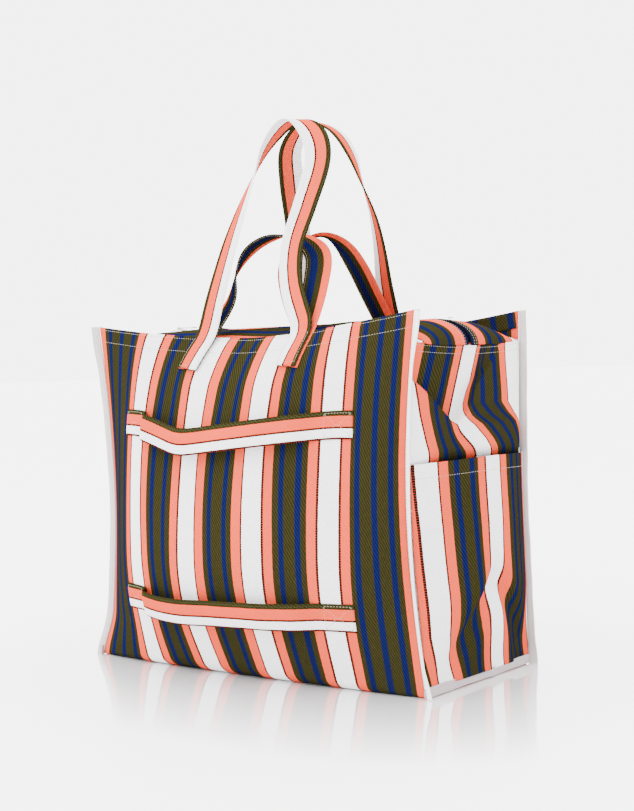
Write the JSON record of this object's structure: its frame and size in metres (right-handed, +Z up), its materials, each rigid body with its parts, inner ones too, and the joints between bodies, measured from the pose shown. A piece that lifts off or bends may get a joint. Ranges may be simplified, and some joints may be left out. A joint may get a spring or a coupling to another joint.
{
  "type": "zip-top tote bag",
  "caption": "Striped canvas tote bag with a zipped top, end pockets, long and short handles, front straps and white bound seams.",
  "frame": {"origin": "middle of the base, on the floor that the bag stands on", "axes": "+X along the length, +Y towards the back, +Z up"},
  "size_m": [0.48, 0.3354, 0.6307],
  "materials": {
    "canvas": "woven striped twill, slight satin sheen",
    "binding_tape": "white ribbed tape",
    "long_webbing": "striped woven strap, olive, coral and white",
    "short_webbing": "striped woven strap, olive, blue and coral",
    "zip_tape": "dark blue woven tape",
    "zip_teeth": "black coil",
    "zip_metal": "satin nickel"
  },
  "bodies": {
    "bag": {"front_panel": "canvas", "back_panel": "canvas", "right_gusset": "canvas", "left_gusset": "canvas", "right_pocket": "canvas", "left_pocket": "canvas", "base_seam_tape": "binding_tape", "front_right_binding": "binding_tape", "front_left_binding": "binding_tape", "back_right_binding": "binding_tape", "back_left_binding": "binding_tape", "right_bottom_binding": "binding_tape", "left_bottom_binding": "binding_tape", "front_closure_margin": "canvas", "back_closure_margin": "canvas", "right_closure_end": "canvas", "left_closure_end": "canvas", "right_zip_end": "zip_tape", "left_zip_end": "zip_tape", "zip_stops": "zip_metal", "front_long_handle_ends": "long_webbing", "front_short_handle_ends": "short_webbing", "back_long_handle_ends": "long_webbing", "back_short_handle_ends": "short_webbing", "upper_front_strap": "long_webbing", "lower_front_strap": "long_webbing"},
    "front_flap": {"front_closure_flap": "canvas", "front_zip_tape": "zip_tape", "front_zip_teeth": "zip_teeth"},
    "back_flap": {"back_closure_flap": "canvas", "back_zip_tape": "zip_tape", "back_zip_teeth": "zip_teeth"},
    "slider": {"zip_slider": "zip_metal"},
    "pull": {"zip_pull": "zip_metal"},
    "front_long": {"front_long_handle": "long_webbing"},
    "front_short": {"front_short_handle": "short_webbing"},
    "back_long": {"back_long_handle": "long_webbing"},
    "back_short": {"back_short_handle": "short_webbing"}
  },
  "joints": [
    {"name": "front_flap_fold", "type": "hinge", "parent": "bag", "child": "front_flap", "pos_m": [0, -0.078, 0.3785], "axis": [1, 0, 0], "range_deg": [-100, 0]},
    {"name": "back_flap_fold", "type": "hinge", "parent": "bag", "child": "back_flap", "pos_m": [0, 0.078, 0.3785], "axis": [-1, 0, 0], "range_deg": [-100, 0]},
    {"name": "slider_travel", "type": "slide", "parent": "bag", "child": "slider", "axis": [1, 0, 0], "range_m": [0, 0.392]},
    {"name": "pull_flip", "type": "hinge", "parent": "slider", "child": "pull", "pos_m": [-0.196, 0, 0.3969], "axis": [0, -1, 0], "range_deg": [0, 150]},
    {"name": "front_long_swing", "type": "hinge", "parent": "bag", "child": "front_long", "pos_m": [0, -0.09346, 0.388], "axis": [1, 0, 0], "range_deg": [0, 92]},
    {"name": "front_short_swing", "type": "hinge", "parent": "bag", "child": "front_short", "pos_m": [0, -0.09346, 0.388], "axis": [1, 0, 0], "range_deg": [0, 92]},
    {"name": "back_long_swing", "type": "hinge", "parent": "bag", "child": "back_long", "pos_m": [0, 0.09346, 0.388], "axis": [-1, 0, 0], "range_deg": [0, 92]},
    {"name": "back_short_swing", "type": "hinge", "parent": "bag", "child": "back_short", "pos_m": [0, 0.09346, 0.388], "axis": [-1, 0, 0], "range_deg": [0, 92]}
  ],
  "couplings": [
    {"joint": "front_short_swing", "follows": "front_long_swing", "ratio": 1},
    {"joint": "back_short_swing", "follows": "back_long_swing", "ratio": 1}
  ]
}
